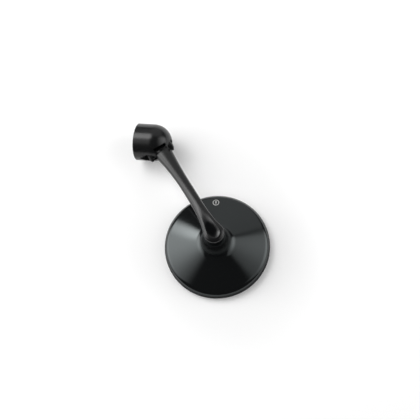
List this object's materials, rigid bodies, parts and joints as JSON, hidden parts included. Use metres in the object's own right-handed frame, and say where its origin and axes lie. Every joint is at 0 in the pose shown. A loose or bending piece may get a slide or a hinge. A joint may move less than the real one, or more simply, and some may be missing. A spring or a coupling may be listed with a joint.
{
  "type": "bar end mirror",
  "caption": "Round convex mirror on a ball joint and curved arm, with a domed clamp that grips the end of a motorcycle handlebar.",
  "frame": {"origin": "middle of the mirror's rim plane, which the part rests on, glass down", "axes": "+Z is the mirror's axis towards its back, +X runs along the arm to the clamp"},
  "size_m": [0.1901, 0.1, 0.0526],
  "materials": {
    "gloss_black": "gloss black paint",
    "satin_black": "satin black coating",
    "black_steel": "blackened steel",
    "plain_steel": "bright steel",
    "glass": "silvered convex glass",
    "foam": "foam adhesive pad",
    "rubber": "rubber",
    "polymer": "natural acetal",
    "black_plastic": "moulded black plastic",
    "bronze": "plain bearing bronze"
  },
  "bodies": {
    "clamp": {"clamp_body": "satin_black", "grub_screws": "black_steel", "pivot_bolt": "black_steel", "pivot_nut": "black_steel", "pivot_lock_washer": "black_steel", "friction_washers": "black_plastic"},
    "arm": {"arm": "satin_black", "pivot_bush": "bronze", "ball_stud": "black_steel", "stud_washer": "black_steel"},
    "seat": {"upper_ball_seat": "polymer"},
    "cup": {"lower_ball_cup": "polymer"},
    "head": {"mirror_housing": "gloss_black", "mirror_glass": "glass", "adhesive_pad": "foam", "backing_plate": "black_plastic", "rim_seal": "rubber", "disc_springs": "plain_steel", "ring_nut": "plain_steel"}
  },
  "joints": [
    {"name": "arm_pivot", "type": "hinge", "parent": "clamp", "child": "arm", "pos_m": [0.1045, 0, 0.02252], "axis": [0, 1, 0], "range_deg": [-38, 30]},
    {"name": "head_tilt_along", "type": "hinge", "parent": "arm", "child": "seat", "pos_m": [0, 0, 0.0332], "axis": [0, 1, 0], "range_deg": [-15, 15]},
    {"name": "head_tilt_across", "type": "hinge", "parent": "seat", "child": "cup", "pos_m": [0, 0, 0.0332], "axis": [1, 0, 0], "range_deg": [-15, 15]},
    {"name": "head_spin", "type": "hinge", "parent": "cup", "child": "head", "pos_m": [0, 0, 0.0332], "axis": [0, 0, 1], "continuous": true}
  ]
}
